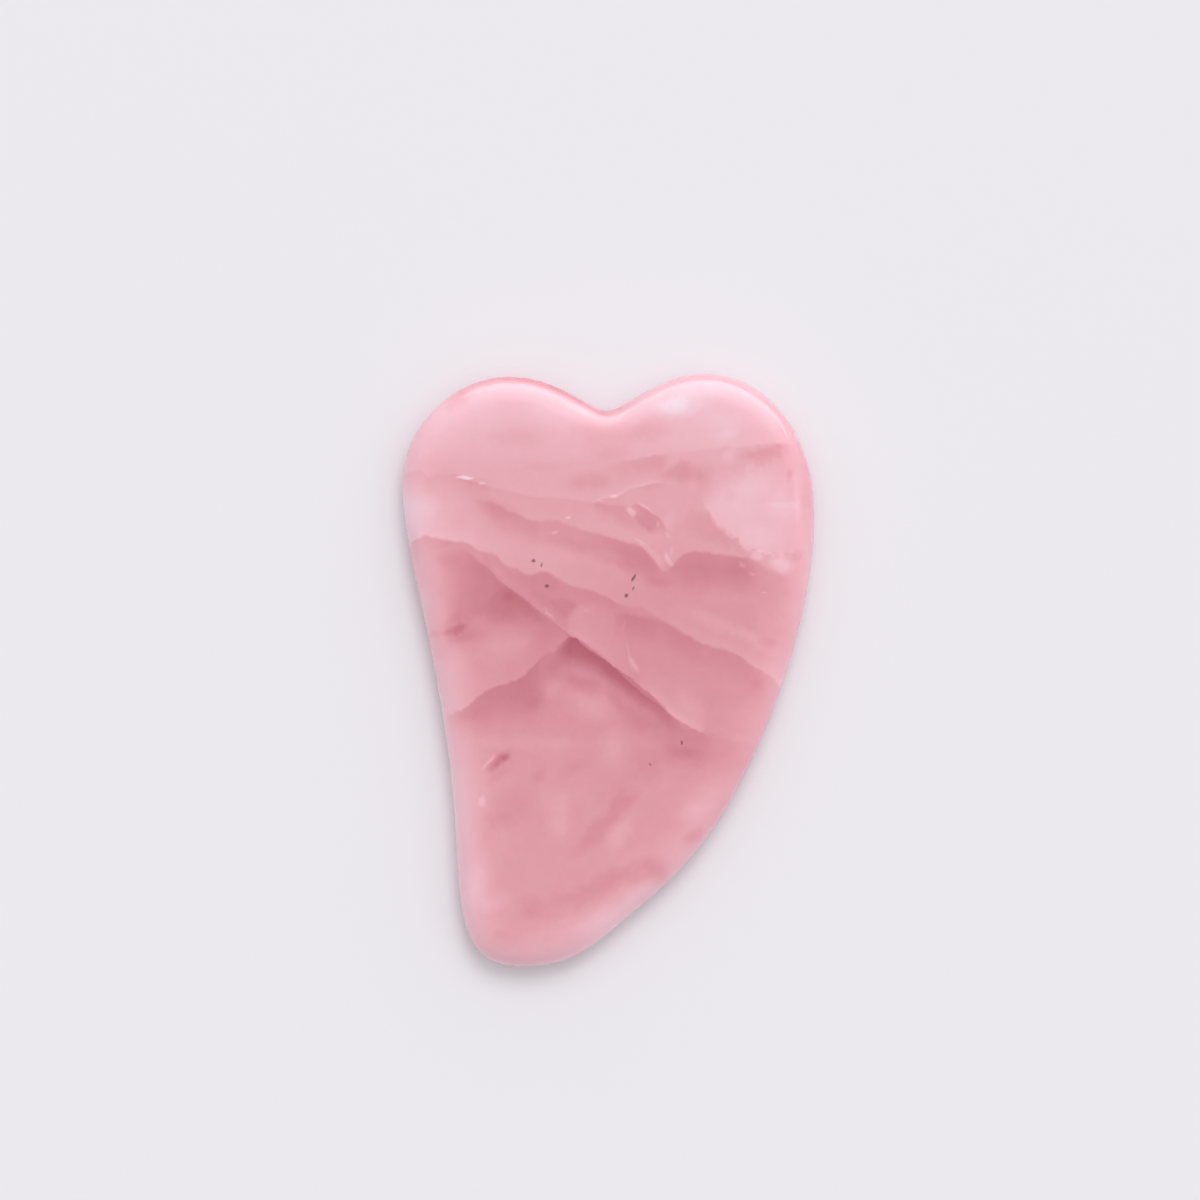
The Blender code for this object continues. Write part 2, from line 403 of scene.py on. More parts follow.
# Hollows and clouds between two lines: the upper line, the lower line, how soft
# each is, how much both wander, and the levels added along x.
BANDS = (
    (
        "left_hollow",
        ((-21.9, 15.9), (-20.7, 15.9), (-19.2, 15.7), (-17.8, 14.9), (-16.0, 13.5), (-14.2, 11.7), (-11.9, 10.1), (-9.2, 8.0), (-7.9, 6.8)),
        ((-21.9, 5.7), (-19.8, 5.9), (-17.3, 7.0), (-14.6, 6.5), (-11.9, 6.8), (-9.2, 6.9), (-7.9, 6.5)),
        0.7, 1.4, 0.4,
        ((-22.7, 0), (-21.1, -4), (-19.4, -11), (-17.6, -14), (-14.6, -12), (-11.3, -8), (-9.2, -5), (-7.6, 0)),
    ),
    (
        "left_core",
        ((-17.3, 8.5), (-16.0, 9.7), (-14.6, 10.9), (-13.6, 11.1), (-11.9, 10.0), (-9.2, 7.8), (-8.2, 6.9)),
        ((-17.3, 8.2), (-15.7, 7.6), (-14.0, 7.0), (-11.9, 7.2), (-9.5, 7.0), (-8.2, 6.6)),
        0.5, 1.2, 0.35,
        ((-18.2, 0), (-16.5, -4), (-14.6, -8), (-12.6, -9), (-10.6, -9), (-9.2, -6), (-8.0, 0)),
    ),
    (
        "black_core",
        ((-7.2, 3.1), (-6.0, 3.9), (-4.8, 4.5), (-3.6, 3.5), (-2.5, 2.7), (-0.2, 1.2), (1.6, -0.1), (3.2, -1.2), (4.9, -2.7), (7.0, -4.3), (8.6, -6.1), (10.2, -7.8)),
        ((-7.2, 2.0), (-5.7, 1.4), (-4.3, 1.1), (-1.8, 0.3), (0.2, -1.4), (2.2, -2.8), (4.3, -4.3), (6.3, -5.8), (8.0, -7.2), (10.2, -8.2)),
        0.16, 1.5, 0.16,
        ((-7.4, 0), (-6.5, -14), (-5.5, -28), (-4.4, -34), (-1.1, -34), (1.8, -31), (4.9, -25), (7.0, -20), (8.8, -10), (10.5, 0)),
    ),
    (
        "b_hollow",
        ((-17.3, 23.0), (-16.4, 22.7), (-15.2, 22.4), (-13.3, 21.5), (-11.9, 20.9), (-9.9, 20.0), (-7.9, 20.1), (-5.2, 19.4), (-3.2, 18.8), (-0.9, 18.2), (0.9, 17.7), (2.5, 17.3), (4.3, 16.6), (5.9, 15.1), (7.2, 13.2)),
        ((-17.3, 21.3), (-15.3, 19.7), (-11.9, 18.6), (-8.6, 17.4), (-5.2, 16.5), (-2.5, 16.1), (0.2, 15.5), (2.9, 13.8), (4.9, 12.7), (7.2, 11.9)),
        0.3, 2.0, 0.2,
        ((-18.2, 0), (-16.5, -10), (-14.6, -18), (-10.6, -18), (-8.2, -13), (-4.5, -14), (-1.4, -18), (0.9, -23), (3.2, -25), (5.3, -24), (6.7, -16), (8.3, 0)),
    ),
    (
        "n_hollow",
        ((7.2, 13.1), (8.3, 13.8), (9.4, 14.9), (10.5, 15.7), (11.7, 15.9), (15.1, 15.5), (18.4, 15.1), (20.0, 14.6), (21.5, 13.4), (23.6, 12.6), (25.9, 11.6)),
        ((7.2, 11.9), (9.1, 11.9), (11.0, 11.7), (13.7, 11.7), (16.4, 11.5), (19.1, 11.3), (21.8, 11.1), (25.9, 10.3)),
        0.25, 2.2, 0.2,
        ((6.4, 0), (7.8, -9), (9.7, -20), (12.4, -25), (15.1, -22), (17.1, -25), (19.1, -16), (21.0, -5), (23.8, -2), (25.9, 0)),
    ),
    (
        "c_hollow",
        ((1.6, 7.8), (4.3, 7.3), (7.0, 6.6), (9.9, 5.1), (13.0, 3.4), (16.4, 2.4), (18.4, 1.1), (20.0, 0.0), (22.1, -1.1)),
        ((1.6, 5.4), (4.3, 4.6), (7.0, 4.1), (9.9, 3.1), (13.0, 1.8), (16.4, -0.3), (18.4, -1.6), (20.0, -3.2), (22.1, -3.5)),
        0.4, 2.2, 0.2,
        ((0.5, 0), (2.2, -13), (4.9, -15), (7.5, -10), (9.9, -13), (12.1, -10), (14.0, -5), (15.7, -6), (18.0, -6), (20.0, -4), (22.3, 0)),
    ),
    (
        "cloud_k",
        ((12.4, 23.0), (14.0, 24.0), (15.3, 25.1), (17.1, 25.9), (19.8, 27.0), (22.5, 27.3), (25.9, 27.0)),
        ((12.4, 22.5), (13.2, 21.5), (14.1, 20.1), (15.6, 18.8), (17.3, 17.6), (18.4, 16.5), (20.5, 15.9), (23.2, 15.4), (25.9, 15.9), (27.5, 16.5)),
        2.4, 0.35, 0.7,
        ((12.2, 0), (12.9, 10), (14.1, 16), (17.1, 19), (19.8, 18), (22.5, 14), (24.8, 8), (26.7, 3), (27.7, 0)),
    ),
    (
        "k_shade",
        ((9.7, 20.4), (11.5, 21.3), (13.2, 21.3), (14.2, 19.8), (15.7, 18.5), (17.8, 17.1)),
        ((9.7, 18.4), (12.4, 17.6), (15.1, 16.7), (17.8, 16.3)),
        0.8, 1.0, 0.6,
        ((8.8, 0), (10.7, -5), (13.0, -8), (15.3, -9), (17.1, -8), (18.3, 0)),
    ),
    (
        "hook_lens",
        ((2.9, 21.9), (3.8, 22.3), (4.7, 21.9), (5.6, 21.3), (6.7, 20.4), (7.8, 18.9)),
        ((2.9, 21.2), (3.8, 20.2), (4.7, 19.3), (5.6, 18.8), (6.7, 18.8), (7.8, 18.5)),
        0.2, 0.7, 0.25,
        ((2.8, 0), (3.8, -14), (5.6, -21), (6.8, -19), (7.9, 0)),
    ),
    (
        "hook_shade",
        ((-1.7, 22.7), (0.2, 22.4), (1.8, 22.1), (3.2, 21.2), (4.5, 20.0), (6.3, 18.9)),
        ((-1.7, 21.9), (0.2, 20.8), (1.8, 19.8), (3.2, 19.0), (4.5, 18.5), (6.3, 18.1)),
        0.4, 1.0, 0.3,
        ((-2.2, 0), (-0.9, -9), (0.9, -12), (2.9, -11), (4.9, -8), (6.4, 0)),
    ),
    (
        "m_hollow",
        ((-0.3, 27.4), (1.6, 27.9), (4.9, 28.4), (6.7, 28.8), (8.0, 28.6)),
        ((-0.3, 26.5), (1.6, 26.3), (4.9, 26.5), (7.0, 27.1), (8.0, 28.1)),
        0.3, 1.2, 0.3,
        ((-1.1, 0), (0.9, -4), (4.3, -8), (6.3, -12), (7.5, -10), (8.3, 0)),
    ),
    (
        "m_core",
        ((6.0, 25.7), (7.5, 26.6), (8.8, 27.5), (9.9, 28.1), (11.0, 27.8), (12.4, 27.0), (14.0, 25.9)),
        ((6.0, 25.5), (7.5, 25.5), (9.1, 25.5), (10.7, 25.5), (12.4, 25.2), (14.0, 25.0)),
        0.55, 1.0, 0.35,
        ((5.1, 0), (7.0, -7), (8.6, -13), (9.9, -15), (11.5, -8), (14.0, 0)),
    ),
    (
        "grey_l",
        ((16.8, 29.2), (18.0, 29.7), (19.8, 29.8), (21.8, 30.0), (23.7, 30.2)),
        ((16.8, 28.8), (18.4, 28.1), (20.5, 27.8), (22.5, 28.1), (23.7, 28.9)),
        0.6, 0.9, 0.4,
        ((16.3, 0), (18.0, -9), (20.2, -14), (22.3, -13), (23.6, -9), (24.5, 0)),
    ),
    (
        "e_hollow",
        ((-21.5, -6.3), (-20.5, -5.5), (-19.8, -5.3), (-17.8, -3.8), (-16.4, -2.7), (-15.1, -2.2), (-13.4, -1.6), (-11.9, -0.9), (-10.2, 0.4), (-8.6, 1.9), (-7.0, 2.7), (-5.2, 3.8)),
        ((-21.5, -7.8), (-19.4, -7.6), (-16.7, -6.8), (-14.6, -5.5), (-11.9, -5.7), (-9.5, -5.4), (-7.9, -3.0), (-6.5, -1.4), (-5.2, -0.3)),
        0.3, 2.2, 0.3,
        ((-22.2, 0), (-20.7, -8), (-18.7, -12), (-16.7, -14), (-14.6, -14), (-11.9, -16), (-9.9, -14), (-8.4, -8), (-7.1, -10), (-5.7, -8), (-4.8, 0)),
    ),
    (
        "c_facet",
        ((-15.1, 15.3), (-13.7, 13.9), (-11.9, 13.4), (-10.3, 12.7), (-8.6, 13.1), (-7.1, 12.4), (-5.5, 11.3)),
        ((-15.1, 14.0), (-13.7, 12.6), (-11.9, 11.5), (-10.3, 10.7), (-8.6, 10.3), (-7.1, 10.5), (-5.5, 10.8)),
        0.4, 1.0, 0.3,
        ((-15.5, 0), (-14.4, -5), (-11.9, -5), (-9.9, -8), (-7.9, -8), (-6.5, -4), (-5.1, 0)),
    ),
    (
        "dc_facet",
        ((-7.9, 9.5), (-6.8, 9.7), (-5.5, 9.5), (-4.1, 8.6)),
        ((-7.9, 8.9), (-6.8, 7.8), (-5.5, 7.4), (-4.1, 8.2)),
        0.35, 0.8, 0.25,
        ((-8.4, 0), (-7.4, -8), (-5.2, -11), (-4.3, -7), (-3.6, 0)),
    ),
    (
        "light_facet",
        ((-5.1, 7.7), (-4.3, 8.5), (-2.5, 8.9), (-0.3, 8.6), (1.8, 7.8)),
        ((-5.1, 5.0), (-3.6, 4.1), (-1.8, 3.0), (-0.2, 1.9), (1.8, 0.5)),
        0.6, 0.35, 0.2,
        ((-5.6, 0), (-4.8, 10), (-2.5, 9), (-0.1, 6), (2.1, 2), (2.5, 0)),
    ),
    (
        "d_shelf",
        ((6.3, -5.9), (7.6, -6.2), (9.7, -7.7), (11.7, -8.2), (13.7, -8.5), (16.4, -9.0), (19.1, -9.7)),
        ((6.3, -11.1), (8.0, -12.2), (10.3, -12.8), (12.4, -12.7), (14.4, -13.2), (17.1, -14.0), (19.1, -13.8)),
        0.7, 2.4, 0.6,
        ((5.3, 0), (7.2, -6), (9.1, -11), (11.0, -12), (12.9, -11), (14.5, -8), (17.1, -6), (19.1, -3), (20.5, 0)),
    ),
    (
        "tail_dark",
        ((-8.6, -30.9), (-6.8, -30.1), (-3.8, -29.2), (-1.1, -27.7), (0.9, -26.9), (3.8, -26.5), (5.6, -25.9), (7.5, -25.9)),
        ((-8.6, -31.9), (-5.9, -31.6), (-3.6, -31.5), (-1.1, -30.4), (1.3, -29.4), (3.8, -28.4), (5.6, -28.4), (7.5, -28.6)),
        1.2, 1.4, 0.6,
        ((-9.8, 0), (-7.2, -5), (-3.8, -9), (-1.1, -11), (1.8, -13), (4.9, -13), (6.7, -10), (8.6, 0)),
    ),
    (
        "tail_dark_up",
        ((-5.5, -24.3), (-3.8, -22.7), (-2.2, -20.8), (-0.3, -19.2), (1.3, -16.7), (3.4, -16.2)),
        ((-5.5, -25.1), (-3.6, -24.3), (-1.4, -23.1), (0.5, -21.1), (2.4, -19.2), (3.4, -17.6)),
        1.0, 1.5, 0.6,
        ((-7.1, 0), (-4.1, -6), (-1.7, -11), (0.9, -10), (2.6, -9), (4.5, 0)),
    ),
)
# Clouds, hollows, chips and flecks: soft ellipses, each with its centre, its two
# half lengths, its angle from +X, the levels it adds, and its even core's share.
# Those close under the lobes' top edge are partly the stone's own clouds and partly
# painted highlight and painted shade, lifting or lowering the colour where the window's reflection falls.
PATCHES = (
    ("cloud", 19.37, 24.84, 4.05, 2.70, 20, 5, 0.1),
    ("cloud", 23.15, 22.28, 3.51, 0.68, 0, 6, 0.2),
    ("mark", 24.37, 26.19, 0.54, 1.35, 0, -14, 0.2),
    ("cloud", 25.31, 23.22, 0.54, 5.40, 0, 7, 0.2),
    ("hollow", 26.66, 22.95, 1.08, 8.10, 0, -6, 0.2),
    ("mark", 23.02, 30.11, 0.68, 0.54, 0, -12, 0.2),
    ("fleck", 20.05, 15.39, 1.35, 0.81, 20, 16, 0.4),
    ("cloud", 23.15, 14.18, 2.29, 1.49, -15, 22, 0.2),
    ("fleck", 18.02, 14.04, 0.81, 0.34, -30, 16, 0.2),
    ("fleck", 19.37, 13.10, 0.41, 0.27, 0, 14, 0.3),
    ("fleck", 20.72, 10.26, 0.54, 0.24, 0, 16, 0.3),
    ("mark", 25.31, 15.26, 0.95, 1.08, 0, -10, 0.3),
    ("hollow", 13.03, 25.92, 2.16, 2.97, 20, -8, 0.1),
    ("cloud", 16.13, 28.62, 1.89, 1.35, 60, 8, 0.1),
    ("hollow", 11.00, 22.95, 3.24, 1.89, 0, -3, 0.1),
    # Partly painted highlight and painted shade: the patches from here to the cloud at (10.33, 35.78) lie under the
    # lobes' top edge and lift or lower the colour where the window's reflection falls.
    ("cloud", -8.17, 34.29, 5.40, 1.89, -20, 4, 0.05),
    ("hollow", 4.93, 32.40, 5.94, 2.43, 8, -10, 0.05),
    ("hollow", -11.95, 31.32, 5.94, 2.43, 0, -8, 0.05),
    ("hollow", -1.69, 32.67, 5.40, 2.70, -10, -10, 0.05),
    ("hollow", -19.78, 36.45, 3.51, 1.89, 30, -14, 0.05),
    ("hollow", 0.47, 29.43, 4.86, 2.16, 0, -6, 0.05),
    ("cloud", 10.33, 35.78, 6.75, 2.43, 16, 13, 0.05),
    ("hollow", -2.50, 25.38, 4.86, 1.76, 4, -9, 0.2),
    ("hollow", -9.25, 27.27, 5.94, 0.81, 4, -4, 0.1),
    ("cloud", -25.99, 21.87, 3.78, 3.24, 0, 7, 0.1),
    ("cloud", -22.75, 22.28, 4.59, 3.51, 0, 6, 0.1),
    ("fleck", -19.24, 25.92, 1.49, 0.35, -2, 44, 0.35),
    ("fleck", -16.81, 24.84, 0.81, 0.22, -2, 20, 0.3),
    ("hollow", -17.35, 25.11, 4.05, 1.08, -14, -4, 0.1),
    ("fleck", 0.74, 23.22, 0.95, 0.30, 15, 26, 0.3),
    ("fleck", -5.33, 20.52, 0.54, 0.32, 0, 26, 0.4),
    ("fleck", -7.22, 18.36, 0.68, 0.27, 10, 14, 0.3),
    ("fleck", -1.15, 22.68, 0.81, 0.20, -5, 10, 0.3),
    ("mark", 4.25, 31.05, 0.41, 0.27, 0, -8, 0.2),
    ("cloud", 15.73, 31.59, 2.70, 1.22, 10, 9, 0.05),
    # Partly painted highlight: this cloud is one of a stack on the right lobe, where the window's reflection falls.
    ("cloud", 9.11, 36.18, 4.05, 1.35, 20, 6, 0.05),
    ("cloud", 23.42, 21.87, 3.24, 3.78, 0, 10, 0.1),
    ("fleck", 3.04, 21.33, 1.08, 0.68, -40, 24, 0.35),
    ("fleck", 4.79, 22.01, 1.49, 0.22, -34, 14, 0.3),
    ("fleck", 6.82, 19.71, 0.41, 0.81, -20, 18, 0.2),
    ("fleck", 7.90, 18.23, 0.81, 0.41, -60, 10, 0.2),
    ("cloud", 6.28, 15.12, 2.70, 0.81, -46, 8, 0.3),
    ("fleck", 8.03, 14.85, 1.35, 0.61, -62, 22, 0.35),
    ("fleck", 4.25, 17.28, 1.35, 0.41, -25, 12, 0.2),
    ("fleck", 8.57, 15.93, 0.41, 1.08, 0, 10, 0.2),
    ("fleck", -8.03, 7.70, 1.22, 0.30, -52, 14, 0.3),
    ("fleck", -2.90, 7.83, 0.81, 0.41, 0, 6, 0.2),
    ("mark", -13.57, 9.86, 1.22, 1.08, 0, -7, 0.2),
    ("hollow", -16.00, 14.85, 1.89, 1.35, -40, -6, 0.1),
    ("hollow", -20.59, 5.40, 2.16, 0.81, 14, -20, 0.2),
    ("hollow", -19.24, 4.59, 3.24, 1.22, 0, -9, 0.1),
    ("mark", -23.56, 4.86, 1.62, 0.54, 6, -7, 0.2),
    ("cloud", -13.97, 3.24, 6.48, 3.24, 18, 10, 0.1),
    ("cloud", -20.05, 0.68, 3.24, 3.24, 30, 5, 0.1),
    ("hollow", -9.25, 4.05, 2.43, 1.89, 30, -3, 0.1),
    ("fleck", 2.09, 5.94, 0.27, 1.62, -8, 5, 0.2),
    ("cloud", 2.63, 2.70, 0.30, 1.89, 12, 10, 0.2),
    ("cloud", 3.31, 0.81, 0.61, 1.89, 25, 17, 0.2),
    ("hollow", 11.00, 2.03, 4.05, 1.62, -20, -2, 0.1),
    ("mark", 20.05, -1.89, 1.35, 1.49, 0, -7, 0.1),
    ("hollow", 21.40, 3.78, 1.89, 0.95, 0, -7, 0.1),
    ("cloud", 15.05, 6.21, 8.10, 1.62, -24, 8, 0.05),
    ("cloud", 17.75, 9.45, 5.94, 1.62, -6, 4, 0.05),
    ("cloud", 19.37, 4.05, 4.59, 1.49, -28, 7, 0.05),
    ("hollow", -7.63, 6.08, 4.86, 3.51, 0, -6, 0.05),
    ("hollow", -4.52, 16.88, 7.02, 1.35, -8, -7, 0.05),
    ("hollow", -20.32, 5.40, 3.78, 2.70, 0, -7, 0.05),
    ("hollow", 6.95, 11.75, 2.70, 1.08, 0, -8, 0.1),
    # Part of the painted rim light: this hollow holds the painted light on the left rim to a narrower strip.
    ("hollow", -20.72, 6.48, 1.89, 5.40, 0, -6, 0.05),
    ("hollow", -15.32, 21.87, 4.86, 1.89, -20, -6, 0.05),
    ("hollow", -8.84, 9.45, 2.70, 1.62, -30, -7, 0.05),
    ("hollow", 0.47, 14.58, 7.02, 1.22, -20, -6, 0.05),
    ("mark", 8.03, 14.04, 1.49, 1.22, 0, -7, 0.05),
    ("cloud", 20.72, 17.82, 4.86, 2.70, 0, 7, 0.05),
    ("cloud", 21.13, 6.48, 2.43, 3.24, 0, 6, 0.05),
    ("cloud", 11.00, -4.32, 4.86, 1.89, -40, 6, 0.05),
    ("cloud", -7.09, -17.28, 2.97, 2.16, 0, 6, 0.05),
    # Partly painted highlight: this cloud is one of the stack on the right lobe, where the window's reflection falls.
    ("cloud", 9.38, 34.97, 3.78, 2.03, 0, 6, 0.05),
    ("cloud", 15.32, 33.08, 4.32, 2.43, 0, 6, 0.05),
    ("hollow", 3.98, -25.92, 2.43, 1.49, 20, -7, 0.05),
    ("cloud", -16.00, -31.46, 2.03, 1.76, 0, 7, 0.05),
    ("hollow", -2.23, -1.76, 2.03, 1.08, -38, -8, 0.05),
    ("hollow", -21.40, 14.85, 2.43, 1.62, 0, -7, 0.05),
    ("cloud", 22.07, 14.99, 4.59, 1.76, 0, 7, 0.05),
    ("hollow", -7.09, 1.08, 3.24, 1.35, 40, -6, 0.05),
    ("mark", 16.40, 23.49, 1.62, 1.22, 0, -6, 0.05),
    ("cloud", 8.17, 20.12, 1.22, 1.76, 0, 8, 0.05),
    ("fleck", 13.97, 25.65, 1.62, 1.49, 0, 6, 0.05),
    ("cloud", -24.50, 9.45, 1.22, 3.24, 0, 6, 0.05),
    # Partly painted highlight: this cloud is one of the stack on the right lobe, where the window's reflection falls.
    ("cloud", 9.65, 35.37, 4.05, 1.35, 0, 4, 0.05),
    ("hollow", -4.12, -1.76, 3.24, 1.49, -38, -11, 0.05),
    ("hollow", 1.15, -4.19, 3.24, 1.49, -42, -8, 0.05),
    ("cloud", -9.25, -9.72, 10.26, 1.62, 0, 6, 0.05),
    ("hollow", 5.33, -12.83, 3.24, 3.51, 0, -7, 0.05),
    ("cloud", -14.65, -30.78, 2.97, 1.89, 0, 6, 0.05),
    ("cloud", -7.49, -2.43, 1.76, 2.03, -30, 12, 0.05),
    ("cloud", -2.50, -4.59, 4.86, 2.97, -20, 12, 0.1),
    ("hollow", -10.06, -4.46, 1.89, 1.49, 30, -6, 0.05),
    ("hollow", -18.70, -5.94, 2.70, 1.08, 20, -5, 0.2),
    ("cloud", -15.59, -9.72, 3.24, 1.62, 0, 4, 0.1),
    ("cloud", 0.47, -10.12, 2.97, 3.51, 0, 10, 0.1),
    ("cloud", -7.09, -10.53, 3.51, 1.89, 20, 3, 0.1),
    ("hollow", 4.25, -7.02, 4.05, 2.16, -40, -10, 0.1),
    ("hollow", 10.19, -10.94, 3.51, 1.35, -12, -9, 0.1),
    ("cloud", 17.08, -5.67, 4.05, 2.16, 0, 2, 0.1),
    ("hollow", -14.78, -12.29, 2.43, 0.95, 44, -30, 0.15),
    ("mark", -13.84, -11.75, 1.08, 0.68, 10, -14, 0.3),
    ("cloud", -16.27, -12.56, 1.76, 0.22, 52, 16, 0.3),
    ("hollow", -14.65, -13.91, 2.70, 0.95, 36, -6, 0.1),
    ("fleck", -16.94, -17.69, 0.61, 1.22, -16, 15, 0.35),
    ("hollow", -9.52, -14.18, 1.76, 1.35, 40, -9, 0.05),
    ("hollow", -4.52, -12.96, 2.97, 1.76, 20, -6, 0.1),
    ("hollow", -13.03, -18.36, 5.13, 3.51, 30, -7, 0.1),
    ("hollow", -14.38, -20.25, 2.43, 1.89, 0, -4, 0.1),
    ("cloud", -6.55, -20.52, 2.70, 4.59, 0, 9, 0.05),
    ("hollow", 1.28, -15.93, 4.86, 3.24, 30, -6, 0.05),
    ("cloud", 1.42, -21.87, 4.05, 2.16, 50, 9, 0.1),
    ("cloud", 12.62, -17.82, 2.70, 4.32, -25, 8, 0.1),
    ("cloud", 11.00, -19.17, 2.70, 2.70, 0, 6, 0.1),
    ("hollow", 11.41, -22.41, 2.43, 1.35, 30, -14, 0.15),
    ("hollow", 6.41, -26.19, 2.43, 2.43, 0, -10, 0.1),
    ("cloud", -17.62, -28.89, 2.43, 5.40, -12, 10, 0.05),
    ("hollow", -10.46, -31.86, 2.43, 2.43, 0, -8, 0.1),
    ("hollow", -16.54, -21.60, 2.43, 4.05, 0, -5, 0.05),
    ("cloud", -1.15, -33.48, 6.75, 1.89, 26, 8, 0.1),
    ("cloud", 4.25, -29.97, 3.78, 1.62, 36, 8, 0.1),
    ("cloud", -6.55, -34.43, 5.40, 1.89, 14, 6, 0.1),
    ("hollow", -13.97, -36.18, 4.59, 1.89, -10, -6, 0.05),
    ("mark", -14.65, -35.37, 1.62, 0.68, 10, -5, 0.1),
)
# Brown needles in the quartz: centre, half lengths and angle.
NEEDLES = (
    (-10.06, 14.72, 0.32, 0.28, 0),
    (-8.98, 14.31, 0.38, 0.14, 80),
    (-8.30, 11.34, 0.27, 0.26, 0),
    (3.44, 12.29, 0.81, 0.26, 58),
    (2.23, 9.99, 0.41, 0.28, 50),
    (3.31, 10.94, 0.43, 0.11, 50),
    (9.92, -9.59, 0.22, 0.27, 0),
    (5.74, -12.69, 0.32, 0.15, -40),
)
NEEDLE_COLOUR = (0.20, 0.07, 0.05, 1.0)
# The stone's colours from its darkest to its lightest: level, then the red,
# green and blue that it shows on screen under the studio light.
TONE_RAMP = (
    (95, 183, 95, 113),
    (115, 195, 115, 130),
    (125, 202, 125, 139),
    (135, 208, 135, 149),
    (145, 215, 145, 158),
    (155, 220, 155, 167),
    (165, 225, 165, 175),
    (175, 230, 175, 185),
    (185, 235, 185, 195),
    (195, 240, 195, 205),
    (205, 244, 205, 215),
    (230, 252, 230, 236),
)


def seam_tone(g, line, lean, width, warp, light, light_length, dark, dark_length, wander, jag):
    """A fracture seen through the polished face: a bright lip on its +Y side and
    a shaded hollow on the other, each dying away over its own length. The
    fracture leans, so that it crosses the rim at a slant."""
    s = g.curve(g.x, line) + wander * warp + jag * (warp * 0.7)
    s = s - (g.y + (THICKNESS - g.z) * lean)
    e = g.step(s, -width, width)
    lip = g.curve(g.x, light) * g.exp(g.min(s, 0.0) / light_length) * (1.0 - e)
    hollow = g.curve(g.x, dark) * g.exp(g.max(s, 0.0) / -dark_length) * e
    return lip - hollow


def band_tone(g, upper, lower, upper_soft, lower_soft, warp, amount, wander, jag):
    """A hollow or a cloud held between two wandering lines."""
    y = g.y - wander * warp - jag * (warp * 0.7)
    below = g.step(g.curve(g.x, upper) - y, -upper_soft, upper_soft)
    above = g.step(y - g.curve(g.x, lower), -lower_soft, lower_soft)
    return g.curve(g.x, amount) * below * above


def stone_tone(g):
    """How light the stone looks, place by place, in the levels of the tone ramp: its own clouds, fractures and flecks,
    with painted light on the thin rim and painted shade on the rim of the lobes.
    """
    wander = g.noise(3.0, 2.0, 0.55, (3.0, 7.0, 1.0))
    drift = g.noise(3.2, 2.0, 0.55, (1.0, 4.0, 8.0))
    jag = g.noise(0.8, 1.0, 0.5, (9.0, 2.0, 5.0))
    tone = g.curve(g.y, BODY_TONE)
    side = g.step(g.x, -9.0, 7.0)
    # Painted light: the thin rim is lightened as if light shone through it, partly making up for the shade the rim gets
    # from the lamps.
    left, right = g.curve(g.y, LEFT_RIM_PAINTED_LIGHT), g.curve(g.y, RIGHT_RIM_PAINTED_LIGHT)
    rim = left + (right - left) * side
    tone = tone + rim * g.exp(g.pow(g.edge / 3.6, 1.5) * -1.0)
    # Painted shade on the rim of the lobes: a shade over its last 1.5 mm and a darker, pinker line in its last 0.6 mm.
    lobes = g.step(g.y, 22.0, 32.0)
    shade = g.curve(g.x, LOBE_SHADE) * g.exp(g.pow(g.edge / 1.5, 2.0) * -1.0)
    line = g.curve(g.x, LOBE_PAINTED_SHADE_LINE) * g.exp(g.pow(g.edge / 0.6, 4.0) * -1.0)
    tone = tone + lobes * (shade + line)
    for _, *shape in SEAMS:
        tone = tone + seam_tone(g, *shape, wander, jag)
    for _, *shape in BANDS:
        tone = tone + band_tone(g, *shape, wander, jag)
    tone = g.min(tone, 200.0)
    point = g.point(
        g.x + wander * 0.35 + jag * 0.12, g.y + drift * 0.35 + jag * 0.12
    )
    ragged = g.noise(1.4, 2.0, 0.6, (7.0, 7.0, 3.0)) * 0.3 + 1.0
    for _, *shape in PATCHES:
        tone = tone + g.patch(point, ragged, *shape)
    tone = tone + g.noise(7.0, 3.0, 0.55, (2.0, 2.0, 2.0), (0.7, 1.0, 1.0)) * 3.4
    tone = tone + g.noise(1.6, 3.0, 0.6, (5.0, 5.0, 5.0)) * 2.2
    needles = None
    for x, y, along, across, angle in NEEDLES:
        one = g.patch(point, 1.0, x, y, along, across, angle, 1.0, 0.45)
        needles = one if needles is None else g.max(needles, one)
    return tone, needles


def linear(level):
    c = level / 255.0
    return c / 12.92 if c <= 0.04045 else ((c + 0.055) / 1.055) ** 2.4


